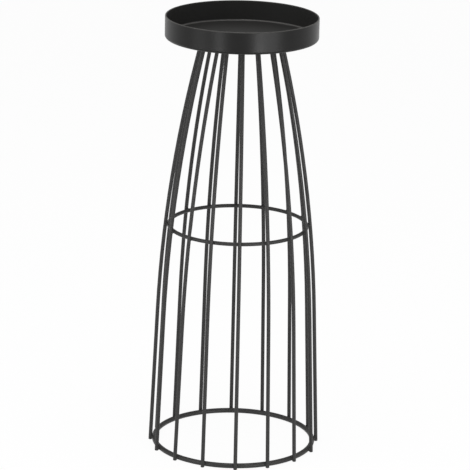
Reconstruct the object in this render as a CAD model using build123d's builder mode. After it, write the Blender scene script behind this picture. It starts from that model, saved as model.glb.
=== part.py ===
from build123d import *
import math
import os

# Wire cage candle holder, in millimetres. +Z is up, and the origin is on the floor under the
# middle of the cage. Rod 1 is the front rod, on -Y, and the rods are numbered counter-clockwise
# as seen from above.

overall_height = 350.0

# Tray: a shallow cup pressed from one sheet
tray_diameter = 120.0
tray_height = 17.4
tray_sheet = 1.2
tray_corner = 2.0
rim_round = 0.5

# Rods: a straight leg that leans inwards, then one long bend up to the tray. Radii are to the
# wire's centre line, and angles are in degrees.
rod_count = 16
rod_wire = 3.0
foot_radius = 67.0
leg_lean = 2.3
leg_height = 110.0
top_radius = 30.4
foot_round = 0.4

# The rods were set by hand, and these lean sideways about their feet, towards the next number
side_lean = {7: -0.5, 15: 0.7}

# Rings: round wires inside the rods, at the floor, below mid height and under the tray
bottom_ring_wire = 4.0
mid_ring_wire = 3.0
mid_ring_height = 181.5
top_ring_wire = 4.0

# Welds: each ring beds a little into the rods, under a bead that spills past the rod's side
weld_bed = 0.3
weld_spill = 0.3
tack_count = 4

# Places that follow from the sizes above
underside = overall_height - tray_height
bottom_ring_height = bottom_ring_wire / 2
top_ring_height = underside - top_ring_wire / 2 + weld_bed
weld_radius = rod_wire / 2 + weld_spill

# A rod's line in its own upright plane: x out from the axis, y up
lean = math.radians(leg_lean)
leg_end = (foot_radius - leg_height * math.tan(lean), leg_height)
across = leg_end[0] - top_radius
rise = underside - leg_height
bend_radius = (across**2 + rise**2) / (2 * (across * math.cos(lean) - rise * math.sin(lean)))
bend_centre = (leg_end[0] - bend_radius * math.cos(lean), leg_height - bend_radius * math.sin(lean))


def rod_slant(height):
    """Angle between a rod and the upright at a height, in radians."""
    if height < leg_height:
        return lean
    return math.asin((height - bend_centre[1]) / bend_radius)


def rod_radius(height):
    """Radius of a rod's centre line at a height."""
    if height < leg_height:
        return foot_radius - height * math.tan(lean)
    return bend_centre[0] + bend_radius * math.cos(rod_slant(height))


def ring_radius(wire, height):
    """Centre line radius of a ring whose wire beds into the inside of the rods."""
    return rod_radius(height) - ((rod_wire + wire) / 2 - weld_bed) / math.cos(rod_slant(height))


def rod_plane(number):
    """Plane of one rod's line, upright unless that rod leans sideways."""
    out = Vector(0, -1, 0).rotate(Axis.Z, 360 / rod_count * (number - 1))
    up = Vector(0, 0, 1).rotate(Axis((0, 0, 0), out), -side_lean.get(number, 0))
    return Plane(origin=(0, 0, 0), x_dir=out, z_dir=out.cross(up))


def crossing(number, wire, height):
    """Plane where a ring beds into one rod: x out through the rod's middle, z along the rod."""
    plane, slant, out = rod_plane(number), rod_slant(height), (wire - weld_bed) / 2
    place = (ring_radius(wire, height) + out * math.cos(slant), height + out * math.sin(slant))
    along = plane.y_dir * math.cos(slant) - plane.x_dir * math.sin(slant)
    return Plane(plane.from_local_coords(place), x_dir=plane.x_dir, z_dir=along)


def make_ring(wire, height):
    """A ring of round wire, cut flat where the tray's floor would meet it."""
    with BuildPart() as ring:
        with BuildSketch(rod_plane(1.5)):
            with Locations(Location((ring_radius(wire, height), height, 0), (0, 0, 180))):
                Circle(wire / 2)
        revolve(axis=Axis.Z)
        split(bisect_by=Plane.XY.offset(underside), keep=Keep.BOTTOM)
    return ring


def make_rod(number, rings):
    """One rod, cut level at the floor and at the tray, with a seat for each ring."""
    plane, spare = rod_plane(number), rod_wire
    top_slant = rod_slant(underside + spare)
    with BuildPart() as rod:
        with BuildLine(plane) as path:
            Line((foot_radius + spare * math.tan(lean), -spare), leg_end)
            CenterArc(bend_centre, bend_radius, leg_lean, math.degrees(top_slant) - leg_lean)
        with BuildSketch(Plane(path.line @ 0, x_dir=plane.x_dir, z_dir=path.line % 0)):
            Circle(rod_wire / 2)
        sweep()
        split(bisect_by=Plane.XY, keep=Keep.TOP)
        split(bisect_by=Plane.XY.offset(underside), keep=Keep.BOTTOM)
        fillet(rod.edges().group_by(Axis.Z)[0], foot_round)
        add([ring.part for ring in rings], mode=Mode.SUBTRACT)
    return rod


def make_ring_welds(ring, wire, height):
    """The beads between one ring and the rods, trimmed by the wires that they join."""
    with BuildPart() as welds:
        with Locations(*[crossing(number, wire, height) for number in range(1, rod_count + 1)]):
            Sphere(weld_radius)
            with Locations(((rod_wire - weld_bed) / 2, 0, 0)):
                Cylinder(rod_wire / 2, 4 * weld_radius, mode=Mode.SUBTRACT)
        add(ring.part, mode=Mode.SUBTRACT)
        split(bisect_by=Plane.XY, keep=Keep.TOP)
        split(bisect_by=Plane.XY.offset(underside), keep=Keep.BOTTOM)
    return welds


with BuildPart() as candle_tray:
    with BuildSketch(Plane.XY.offset(underside)):
        Circle(tray_diameter / 2)
    extrude(amount=tray_height)
    fillet(candle_tray.edges().group_by(Axis.Z)[0], tray_corner)
    offset(amount=-tray_sheet, openings=candle_tray.faces().sort_by(Axis.Z)[-1])
    fillet(candle_tray.edges().group_by(Axis.Z)[-1], rim_round)

bottom_ring = make_ring(bottom_ring_wire, bottom_ring_height)
mid_ring = make_ring(mid_ring_wire, mid_ring_height)
top_ring = make_ring(top_ring_wire, top_ring_height)

bottom_ring_welds = make_ring_welds(bottom_ring, bottom_ring_wire, bottom_ring_height)
mid_ring_welds = make_ring_welds(mid_ring, mid_ring_wire, mid_ring_height)
top_ring_welds = make_ring_welds(top_ring, top_ring_wire, top_ring_height)

# Tacks that hold the tray down, where the flat on the top ring's inside ends
flat_half = math.sqrt(weld_bed * (top_ring_wire - weld_bed))
tack_circle = ring_radius(top_ring_wire, top_ring_height) - flat_half
with BuildPart() as tray_tacks:
    with Locations(Plane.XY.offset(underside)):
        with PolarLocations(tack_circle, tack_count, start_angle=180 / rod_count):
            Sphere(weld_radius)
    split(bisect_by=Plane.XY.offset(underside), keep=Keep.BOTTOM)
    add(top_ring.part, mode=Mode.SUBTRACT)

pieces = {
    "candle_tray": candle_tray,
    "bottom_ring": bottom_ring,
    "mid_ring": mid_ring,
    "top_ring": top_ring,
    "bottom_ring_welds": bottom_ring_welds,
    "mid_ring_welds": mid_ring_welds,
    "top_ring_welds": top_ring_welds,
    "tray_tacks": tray_tacks,
}
for number in range(1, rod_count + 1):
    pieces[f"rod_{number:02}"] = make_rod(number, [bottom_ring, mid_ring, top_ring])

os.makedirs("parts", exist_ok=True)
for name, piece in pieces.items():
    piece.part.label = name
    export_step(piece.part, f"parts/{name}.step")
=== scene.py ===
"""Looks of a wire cage candle stand: its satin black coat, a pale studio and the photograph's camera."""

from __future__ import annotations

import logging
import math
from dataclasses import dataclass
from enum import Enum
from typing import Any, Iterable, Mapping

import bmesh
import bpy
from mathutils import Matrix, Vector

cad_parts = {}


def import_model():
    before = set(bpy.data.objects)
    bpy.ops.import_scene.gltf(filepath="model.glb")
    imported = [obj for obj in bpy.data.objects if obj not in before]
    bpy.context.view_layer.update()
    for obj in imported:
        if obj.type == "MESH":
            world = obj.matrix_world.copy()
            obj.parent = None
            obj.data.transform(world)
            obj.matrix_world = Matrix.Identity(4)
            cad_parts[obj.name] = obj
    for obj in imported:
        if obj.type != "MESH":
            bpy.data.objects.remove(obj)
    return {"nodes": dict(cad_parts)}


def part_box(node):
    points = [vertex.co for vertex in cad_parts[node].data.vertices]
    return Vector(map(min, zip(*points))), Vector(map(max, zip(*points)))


LOG = logging.getLogger("candle_stand")

Colour = tuple[float, float, float, float]

# A noise pattern stays mostly between the first and the last of these, about its middle
NOISE_LOW = 0.3
NOISE_MIDDLE = 0.5
NOISE_HIGH = 0.7


class Ray(Enum):
    """A kind of ray that the light path tells apart."""

    CAMERA = "Is Camera Ray"
    MIRRORED = "Is Glossy Ray"
    THROUGH = "Is Transmission Ray"


class Value:
    """A number that changes over a surface, held as a node's socket, with ordinary arithmetic."""

    def __init__(self, nodes: Nodes, socket: bpy.types.NodeSocket) -> None:
        """Wraps a socket.

        Args:
            nodes: The node tree that the socket is in.
            socket: The output socket.
        """
        self.nodes = nodes
        self.socket = socket

    def math(self, operation: str, first: Value | float, second: Value | float) -> Value:
        """Adds one Math node.

        Args:
            operation: Blender's name for the operation.
            first: The first number.
            second: The second number.

        Returns:
            The node's result.
        """
        return self.nodes.value("ShaderNodeMath", {"operation": operation}, {0: first, 1: second})

    def __add__(self, other: Value | float) -> Value:
        """Returns self + other."""
        return self.math("ADD", self, other)

    def __radd__(self, other: Value | float) -> Value:
        """Returns other + self."""
        return self.math("ADD", other, self)

    def __sub__(self, other: Value | float) -> Value:
        """Returns self - other."""
        return self.math("SUBTRACT", self, other)

    def __rsub__(self, other: Value | float) -> Value:
        """Returns other - self."""
        return self.math("SUBTRACT", other, self)

    def __mul__(self, other: Value | float) -> Value:
        """Returns self * other."""
        return self.math("MULTIPLY", self, other)

    def __rmul__(self, other: Value | float) -> Value:
        """Returns other * self."""
        return self.math("MULTIPLY", other, self)

    def larger(self, other: Value | float) -> Value:
        """Returns the larger of self and other."""
        return self.math("MAXIMUM", self, other)

    def smooth(self, start: float, end: float) -> Value:
        """Eases from 0 at one number to 1 at another.

        Args:
            start: Where the result is 0.
            end: Where the result is 1. It may be the smaller number.

        Returns:
            The eased number.
        """
        return self.nodes.value(
            "ShaderNodeMapRange",
            {"interpolation_type": "SMOOTHSTEP"},
            {"Value": self, "From Min": start, "From Max": end},
        )


class Nodes:
    """A node tree that is filled through one method."""

    def __init__(self, tree: bpy.types.NodeTree) -> None:
        """Empties a node tree and keeps it.

        Args:
            tree: The tree of a material or of the world.
        """
        tree.nodes.clear()
        self.tree = tree

    def node(
        self,
        kind: str,
        settings: Mapping[str, Any] | None = None,
        inputs: Mapping[str | int, Any] | None = None,
    ) -> bpy.types.Node:
        """Adds a node.

        Args:
            kind: Blender's name for the node's type.
            settings: The node's own properties, which are set first.
            inputs: Numbers, colours or values for its sockets, by name or index.

        Returns:
            The node.
        """
        made = self.tree.nodes.new(kind)
        for name, setting in (settings or {}).items():
            setattr(made, name, setting)
        for key, given in (inputs or {}).items():
            if isinstance(given, Value):
                self.tree.links.new(given.socket, made.inputs[key])
            else:
                made.inputs[key].default_value = given
        return made

    def value(
        self,
        kind: str,
        settings: Mapping[str, Any] | None = None,
        inputs: Mapping[str | int, Any] | None = None,
        output: str | int = 0,
    ) -> Value:
        """Adds a node and returns one of its outputs.

        Args:
            kind: Blender's name for the node's type.
            settings: The node's own properties.
            inputs: Numbers, colours or values for its sockets.
            output: Name or index of the output.

        Returns:
            The output.
        """
        return Value(self, self.node(kind, settings, inputs).outputs[output])

    def colours(self, low: Colour | Value, high: Colour | Value, factor: Value | float) -> Value:
        """Mixes two colours.

        Args:
            low: The colour at factor 0.
            high: The colour at factor 1.
            factor: How much of the second colour shows.

        Returns:
            The mixed colour.
        """
        return self.value("ShaderNodeMix", {"data_type": "RGBA"}, {0: factor, 6: low, 7: high}, 2)

    def noise(self, place: Value, size: float, detail: float, roughness: float = 0.5) -> Value:
        """A cloudy pattern.

        Args:
            place: The point on the surface.
            size: Width of its largest patches, in metres.
            detail: How many finer layers it has.
            roughness: How strong the finer layers are.

        Returns:
            The pattern, mostly between NOISE_LOW and NOISE_HIGH.
        """
        return self.value(
            "ShaderNodeTexNoise",
            {},
            {"Vector": place, "Scale": 1.0 / size, "Detail": detail, "Roughness": roughness},
        )

    def is_ray(self, *rays: Ray) -> Value:
        """Tells some kinds of ray from the rest.

        Args:
            rays: The kinds that are wanted.

        Returns:
            1 for a ray of those kinds, and 0 for any other.
        """
        path = self.node("ShaderNodeLightPath")
        first, *others = [Value(self, path.outputs[ray.value]) for ray in rays]
        for other in others:
            first = first.larger(other)
        return first

    def join(self, first: bpy.types.Node, second: bpy.types.Node, factor: Value | float) -> bpy.types.Node:
        """Mixes two shaders.

        Args:
            first: The shader at factor 0.
            second: The shader at factor 1.
            factor: How much of the second shader shows.

        Returns:
            The Mix Shader node.
        """
        shaders = {1: Value(self, first.outputs[0]), 2: Value(self, second.outputs[0])}
        return self.node("ShaderNodeMixShader", {}, {0: factor, **shaders})

    def finish(self, kind: str, shader: bpy.types.Node) -> None:
        """Joins a shader to the tree's output.

        Args:
            kind: Blender's name for the output's type.
            shader: The last shader.
        """
        self.node(kind, {}, {"Surface": Value(self, shader.outputs[0])})


@dataclass(frozen=True)
class PowderCoat:
    """Satin black powder coat: a very fine grain over a soft orange peel, with a trace of dust."""

    name: str
    tint: tuple[float, float, float] = (0.0198, 0.0194, 0.0188)
    dust_tint: tuple[float, float, float] = (0.16, 0.15, 0.135)
    roughness: float = 0.46
    gloss_level: float = 0.30
    cloud_size: float = 0.045
    peel_size: float = 0.0017
    grain_size: float = 0.00042
    relief: float = 0.000007
    relief_strength: float = 0.4
    grain_share: float = 0.3
    thin_tone: float = 1.16
    full_tone: float = 0.88
    cloud_matt: float = 0.16
    grain_matt: float = 0.12
    speck_size: float = 0.004
    speck_start: float = 0.45
    speck_full: float = 0.75
    dust_slope: float = 0.3
    dust_film: float = 0.3
    dust: float = 0.035

    def colour(self, nodes: Nodes, place: Value, cloud: Value, up: Value) -> Value:
        """The coat's colour: a little uneven, and dusty where it faces up.

        Args:
            nodes: The material's nodes.
            place: The point on the surface.
            cloud: The slow unevenness of the sprayed coat.
            up: How much the surface faces up.

        Returns:
            The colour.
        """
        thin = tuple(part * self.thin_tone for part in self.tint) + (1.0,)
        full = tuple(part * self.full_tone for part in self.tint) + (1.0,)
        coat = nodes.colours(full, thin, cloud.smooth(NOISE_LOW, NOISE_HIGH))
        specks = nodes.noise(place, self.speck_size, detail=4.0, roughness=0.7)
        settled = specks.smooth(self.speck_start, self.speck_full) * self.dust
        dusty = up * (settled + self.dust * self.dust_film)
        return nodes.colours(coat, self.dust_tint + (1.0,), dusty)

    def matt(self, nodes: Nodes, place: Value, cloud: Value, grain: Value) -> Value:
        """The coat's roughness.

        Args:
            nodes: The material's nodes.
            place: The point on the surface. Not used here.
            cloud: The slow unevenness of the sprayed coat.
            grain: The finest grain.

        Returns:
            The roughness.
        """
        uneven = (cloud - NOISE_MIDDLE) * self.cloud_matt + (grain - NOISE_MIDDLE) * self.grain_matt
        return self.roughness + uneven

    def material(self) -> bpy.types.Material:
        """Makes the coat's material.

        Returns:
            The material.
        """
        made = bpy.data.materials.new(self.name)
        made.use_nodes = True
        nodes = Nodes(made.node_tree)
        place = nodes.value("ShaderNodeTexCoord", output="Object")
        facing = nodes.value("ShaderNodeNewGeometry", output="Normal")
        up = nodes.value("ShaderNodeSeparateXYZ", {}, {0: facing}, 2).smooth(self.dust_slope, 1.0)
        cloud = nodes.noise(place, self.cloud_size, detail=3.0)
        grain = nodes.noise(place, self.grain_size, detail=2.0, roughness=0.6)
        peel = nodes.noise(place, self.peel_size, detail=1.0)
        height = peel * (1.0 - self.grain_share) + grain * self.grain_share
        bump = nodes.value(
            "ShaderNodeBump",
            {},
            {"Strength": self.relief_strength, "Distance": self.relief, "Height": height},
        )
        shader = nodes.node(
            "ShaderNodeBsdfPrincipled",
            {},
            {
                "Base Color": self.colour(nodes, place, cloud, up),
                "Roughness": self.matt(nodes, place, cloud, grain),
                "Specular IOR Level": self.gloss_level,
                "Normal": bump,
            },
        )
        nodes.finish("ShaderNodeOutputMaterial", shader)
        return made


@dataclass(frozen=True, kw_only=True)
class TrayCoat(PowderCoat):
    """The tray's coat: duller inside the cup, smooth in its corner, with one smudge, and with painted light:
    the inside tinted lighter, and painted highlights in the corner and along the rim.
    """

    outer_radius: float
    underside: float
    rim: float
    sheet: float = 0.0012
    corner_round: float = 0.0008
    edge: float = 0.0002
    # Share of the painted light in the cup's inside tone and of the painted highlight in its corner
    painted_light_share: float = 0.8
    # Painted light: the cup's inside gets a lighter tone than its outer wall, though the coat is the same
    inside_painted_light_tint: tuple[float, float, float] = (0.019, 0.0187, 0.0178)
    inside_matt: float = 0.2
    # Painted highlight in the rounded corner between the cup's floor and its wall
    corner_highlight_tint: tuple[float, float, float] = (0.085, 0.083, 0.08)
    corner_gloss: float = 0.2
    # Painted highlight along the top of the rim: how deep it reaches, how the coat's cloud breaks it up, its
    # tint and its share
    rim_depth: float = 0.0007
    rim_highlight_tint: tuple[float, float, float] = (0.06, 0.058, 0.055)
    rim_start: float = 0.2
    rim_full: float = 0.6
    rim_highlight_share: float = 0.7
    smudge_across: float = -0.0095
    smudge_back: float = 0.014
    smudge_radius: float = 0.005
    smudge_grain: float = 0.0025
    smudge_start: float = 0.35
    smudge_full: float = 0.7
    smudge_share: float = 0.1

    def radius(self, nodes: Nodes, place: Value) -> Value:
        """Returns how far a point is from the stand's axis."""
        flat = nodes.value("ShaderNodeVectorMath", {"operation": "MULTIPLY"}, {0: place, 1: (1.0, 1.0, 0.0)})
        return nodes.value("ShaderNodeVectorMath", {"operation": "LENGTH"}, {0: flat}, "Value")

    def height(self, nodes: Nodes, place: Value) -> Value:
        """Returns a point's height."""
        return nodes.value("ShaderNodeSeparateXYZ", {}, {0: place}, 2)

    def inside(self, nodes: Nodes, place: Value) -> Value:
        """Marks the cup's floor and inner wall.

        Args:
            nodes: The material's nodes.
            place: The point on the surface.

        Returns:
            1 on them, and 0 elsewhere.
        """
        wall = self.outer_radius - self.sheet / 2
        floor = self.underside + self.sheet / 2
        within = self.radius(nodes, place).smooth(wall + self.edge, wall - self.edge)
        above = self.height(nodes, place).smooth(floor, floor + 2 * self.edge)
        return within * above

    def corner(self, nodes: Nodes, place: Value) -> Value:
        """Marks the rounded corner between the cup's floor and its wall.

        Args:
            nodes: The material's nodes.
            place: The point on the surface.

        Returns:
            1 in the corner, and 0 elsewhere.
        """
        start = self.outer_radius - self.sheet - self.corner_round
        top = self.underside + self.sheet + self.corner_round
        outer = self.radius(nodes, place).smooth(start - 2 * self.edge, start)
        low = self.height(nodes, place).smooth(top + 2 * self.edge, top)
        return outer * low * self.inside(nodes, place)

    def smudged(self, nodes: Nodes, place: Value) -> Value:
        """Marks the faint smudge on the cup's floor.

        Args:
            nodes: The material's nodes.
            place: The point on the surface.

        Returns:
            Up to 1 in the smudge, and 0 elsewhere.
        """
        centre = (self.smudge_across, self.smudge_back, self.underside + self.sheet)
        apart = nodes.value(
            "ShaderNodeVectorMath", {"operation": "DISTANCE"}, {0: place, 1: centre}, "Value"
        )
        patches = nodes.noise(place, self.smudge_grain, detail=3.0)
        broken = patches.smooth(self.smudge_start, self.smudge_full)
        return apart.smooth(self.smudge_radius, 0.0) * broken

    def colour(self, nodes: Nodes, place: Value, cloud: Value, up: Value) -> Value:
        """The coat's colour: the inside tinted lighter as painted light, painted highlights in the corner
        and along the rim, and the smudge.

        Args:
            nodes: The material's nodes.
            place: The point on the surface.
            cloud: The slow unevenness of the sprayed coat.
            up: How much the surface faces up.

        Returns:
            The colour.
        """
        coat = super().colour(nodes, place, cloud, up)
        # Painted light: the inside of the cup is tinted lighter than its outer wall
        coat = nodes.colours(coat, self.inside_painted_light_tint + (1.0,), self.inside(nodes, place) * self.painted_light_share)
        # Painted highlight: a lighter tone in the cup's corner, where the finish is also smoother
        coat = nodes.colours(coat, self.corner_highlight_tint + (1.0,), self.corner(nodes, place) * self.painted_light_share)
        # Painted highlight along the top of the rim, broken up by the coat's cloud
        start = self.rim - self.rim_depth
        rim = self.height(nodes, place).smooth(start, start + 2 * self.edge)
        rim_highlight = rim * cloud.smooth(self.rim_start, self.rim_full) * self.rim_highlight_share
        coat = nodes.colours(coat, self.rim_highlight_tint + (1.0,), rim_highlight)
        marked = self.smudged(nodes, place) * self.smudge_share
        return nodes.colours(coat, self.dust_tint + (1.0,), marked)

    def matt(self, nodes: Nodes, place: Value, cloud: Value, grain: Value) -> Value:
        """The coat's roughness, duller inside the cup and smooth in its corner.

        Args:
            nodes: The material's nodes.
            place: The point on the surface.
            cloud: The slow unevenness of the sprayed coat.
            grain: The finest grain.

        Returns:
            The roughness.
        """
        inside = self.inside(nodes, place) * self.inside_matt
        coat = super().matt(nodes, place, cloud, grain)
        return coat + inside - self.corner(nodes, place) * self.corner_gloss


def dress(node: bpy.types.Object, material: bpy.types.Material) -> None:
    """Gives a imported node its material.

    Args:
        node: The node's object.
        material: The finish that it shows.
    """
    if not node.material_slots:
        node.data.materials.append(material)
    for slot in node.material_slots:
        slot.material = material


@dataclass
class Tray:
    """The shallow cup that the candle stands in. Its box says where the marks and the painted light in its
    coat lie.
    """

    node: bpy.types.Object
    box: tuple[Vector, Vector]
    tint: tuple[float, float, float] = (0.0049, 0.0048, 0.0046)
    dust: float = 0.02
    roughness: float = 0.34
    gloss_level: float = 0.2

    def coat(self) -> TrayCoat:
        """Places the cup's coat.

        Returns:
            The coat, with its marks and painted light set by the cup's box.
        """
        low, high = self.box
        return TrayCoat(
            "tray_coat",
            tint=self.tint,
            dust=self.dust,
            roughness=self.roughness,
            gloss_level=self.gloss_level,
            outer_radius=high[0],
            underside=low[2],
            rim=high[2],
        )

    def dress(self) -> None:
        """Coats the cup."""
        dress(self.node, self.coat().material())


@dataclass
class Wires:
    """Round wires that share one coat: the rods, or the rings."""

    nodes: Iterable[bpy.types.Object]
    coat: PowderCoat

    def dress(self) -> None:
        """Coats every wire."""
        material = self.coat.material()
        for node in self.nodes:
            dress(node, material)


@dataclass(frozen=True, kw_only=True)
class Softbox:
    """A soft lamp round the stand. Bearings are in degrees from the camera's side, to the right."""

    name: str
    bearing: float
    distance: float
    height: float
    width: float
    tall: float
    power: float
    aim_height: float = 0.2

    def place(self) -> None:
        """Adds the lamp, aimed at the stand."""
        lamp = bpy.data.lights.new(self.name, "AREA")
        lamp.shape = "RECTANGLE"
        lamp.size = self.width
        lamp.size_y = self.tall
        lamp.energy = self.power
        holder = bpy.data.objects.new(self.name, lamp)
        bpy.context.scene.collection.objects.link(holder)
        turn = math.radians(self.bearing)
        holder.location = (self.distance * math.sin(turn), -self.distance * math.cos(turn), self.height)
        away = holder.location - Vector((0.0, 0.0, self.aim_height))
        holder.rotation_euler = away.to_track_quat("Z", "Y").to_euler()
        holder.visible_camera = False


@dataclass(frozen=True, kw_only=True)
class LowLamp(Softbox):
    """A small lamp near the floor in front, which shows as one band on the tray's wall."""

    distance: float = 1.0
    height: float = 0.12
    tall: float = 0.2
    aim_height: float = 0.3


@dataclass
class Studio:
    """A pale floor in a bright, plain room with soft lamps.

    Mirrored and refracted rays meet the white only near the horizon. It fades out between
    white_base and white_top, which are upward parts of a ray's direction of length one.
    """

    floor_radius: float = 6.0
    floor_sides: int = 96
    floor_tint: Colour = (0.8, 0.8, 0.8, 1.0)
    white: Colour = (1.0, 1.0, 1.0, 1.0)
    white_share: float = 0.94
    room_light: float = 0.62
    floor_drop: float = 0.00005
    white_top: float = 0.22
    white_base: float = 0.04
    lamps: tuple[Softbox, ...] = (
        Softbox(
            name="left_softbox", bearing=-62.0, distance=1.7, height=1.15, width=1.1, tall=1.0, power=9.0
        ),
        Softbox(
            name="right_softbox", bearing=68.0, distance=1.8, height=0.95, width=0.9, tall=0.9, power=4.0
        ),
        Softbox(
            name="top_softbox", bearing=0.0, distance=0.25, height=1.7, width=0.8, tall=0.8, power=11.0
        ),
        LowLamp(name="front_right_strip", bearing=24.0, width=0.12, power=1.94),
        LowLamp(name="front_right_card", bearing=43.0, width=0.34, power=1.41),
        LowLamp(name="front_left_strip", bearing=-34.0, width=0.16, power=1.11),
        LowLamp(name="front_left_card", bearing=-64.0, width=0.40, power=0.63),
    )

    def build_floor(self) -> None:
        """Lays the floor, which looks white and still takes the stand's shadow."""
        mesh = bpy.data.meshes.new("floor")
        disc = bmesh.new()
        bmesh.ops.create_circle(disc, cap_ends=True, segments=self.floor_sides, radius=self.floor_radius)
        disc.to_mesh(mesh)
        disc.free()
        floor = bpy.data.objects.new("floor", mesh)
        bpy.context.scene.collection.objects.link(floor)
        floor.location.z = -self.floor_drop
        material = bpy.data.materials.new("pale_floor")
        material.use_nodes = True
        nodes = Nodes(material.node_tree)
        paint = nodes.node("ShaderNodeBsdfDiffuse", {}, {"Color": self.floor_tint})
        glow = nodes.node("ShaderNodeEmission", {}, {"Color": self.white, "Strength": 1.0})
        shown = nodes.join(paint, glow, nodes.is_ray(*Ray) * self.white_share)
        nodes.finish("ShaderNodeOutputMaterial", shown)
        mesh.materials.append(material)

    def light_room(self) -> None:
        """Sets the room's soft light, and the white that shows behind the stand."""
        world = bpy.data.worlds.new("room")
        bpy.context.scene.world = world
        world.use_nodes = True
        nodes = Nodes(world.node_tree)
        towards = nodes.value("ShaderNodeTexCoord", output="Generated")
        height = nodes.value("ShaderNodeSeparateXYZ", {}, {0: towards}, 2)
        low = height.smooth(self.white_top, self.white_base)
        shown = nodes.is_ray(Ray.CAMERA).larger(nodes.is_ray(Ray.MIRRORED, Ray.THROUGH) * low)
        soft = nodes.node("ShaderNodeBackground", {}, {"Color": self.white, "Strength": self.room_light})
        white = nodes.node("ShaderNodeBackground", {}, {"Color": self.white, "Strength": 1.0})
        nodes.finish("ShaderNodeOutputWorld", nodes.join(soft, white, shown))

    def build(self) -> None:
        """Builds the whole studio."""
        self.build_floor()
        self.light_room()
        for lamp in self.lamps:
            lamp.place()


@dataclass(frozen=True)
class PhotoCamera:
    """The photograph's camera. Angles are in radians and lengths in metres."""

    focal_pixels: float = 2848.19775
    distance: float = 2.16452
    height: float = 0.81453
    pitch: float = 0.28820
    yaw: float = -0.00094
    roll: float = 0.02183
    turn: float = 0.03230
    frame_pixels: float = 470.0
    sensor: float = 36.0
    reach: float = 50.0

    def place(self) -> None:
        """Adds the camera and makes it the scene's."""
        turned = Matrix.Rotation(-self.turn, 3, "Z")
        level = math.cos(self.pitch)
        ahead = Vector((math.sin(self.yaw) * level, math.cos(self.yaw) * level, -math.sin(self.pitch)))
        forward = turned @ ahead
        right = turned @ Vector((math.cos(self.yaw), -math.sin(self.yaw), 0.0))
        over = right.cross(forward)
        side = right * math.cos(self.roll) + over * math.sin(self.roll)
        top = over * math.cos(self.roll) - right * math.sin(self.roll)
        stand = turned @ Vector((0.0, -self.distance, self.height))
        view = bpy.data.cameras.new("camera")
        view.sensor_width = self.sensor
        view.lens = self.focal_pixels / self.frame_pixels * self.sensor
        view.clip_end = self.reach
        holder = bpy.data.objects.new("camera", view)
        bpy.context.scene.collection.objects.link(holder)
        axes = Matrix((side, top, -forward)).transposed().to_4x4()
        holder.matrix_world = Matrix.Translation(stand) @ axes
        bpy.context.scene.camera = holder


def main() -> None:
    """Builds the studio, the camera and the stand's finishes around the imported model."""
    logging.basicConfig(level=logging.INFO, format="%(name)s: %(message)s")
    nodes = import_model()["nodes"]
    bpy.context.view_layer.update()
    bpy.context.scene.view_settings.view_transform = "Standard"
    PhotoCamera().place()
    LOG.info("camera placed")
    Studio().build()
    LOG.info("studio built")
    Tray(nodes["candle_tray"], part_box("candle_tray")).dress()
    LOG.info("tray coated")
    rings = [nodes[name] for name in ("bottom_ring", "mid_ring", "top_ring")]
    Wires(rings, PowderCoat("ring_coat")).dress()
    LOG.info("rings coated")
    rods = [nodes[name] for name in sorted(nodes) if name.startswith("rod_")]
    Wires(rods, PowderCoat("rod_coat", cloud_size=0.03)).dress()
    LOG.info("rods coated: %d", len(rods))
    beads = [nodes[name] for name in sorted(nodes) if name.endswith(("welds", "tacks"))]
    Wires(beads, PowderCoat("weld_coat", roughness=0.5, relief=0.00003)).dress()
    LOG.info("weld beads coated: %d groups", len(beads))


if __name__ == "__main__":
    main()
